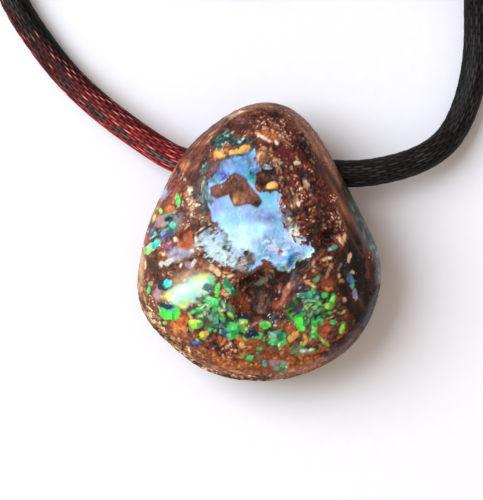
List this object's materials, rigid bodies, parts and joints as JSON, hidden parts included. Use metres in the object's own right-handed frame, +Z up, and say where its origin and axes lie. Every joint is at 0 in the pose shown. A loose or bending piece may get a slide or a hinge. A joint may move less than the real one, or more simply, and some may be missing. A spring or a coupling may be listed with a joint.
{
  "type": "boulder opal pendant stone on a cord",
  "caption": "Tumbled ironstone pebble with bright opal in its face, drilled sideways and threaded on a braided satin neck cord whose spare length lies in a tied coil.",
  "frame": {"origin": "centre of the stone's footprint on the surface it rests on", "axes": "+Z up out of the opal face, +Y towards the stone's narrow end and the coil, +X to the right seen from above"},
  "size_m": [0.0477, 0.0708, 0.0116],
  "materials": {
    "ironstone": "polished ironstone with opal, a stone with a waxy gloss",
    "cord_satin": "braided satin",
    "tie_paper": "paper covered wire"
  },
  "bodies": {
    "root": {"boulder_opal": "ironstone", "neck_cord": "cord_satin", "cord_coil": "cord_satin", "cord_knot": "cord_satin", "cord_tie": "tie_paper"}
  },
  "joints": []
}
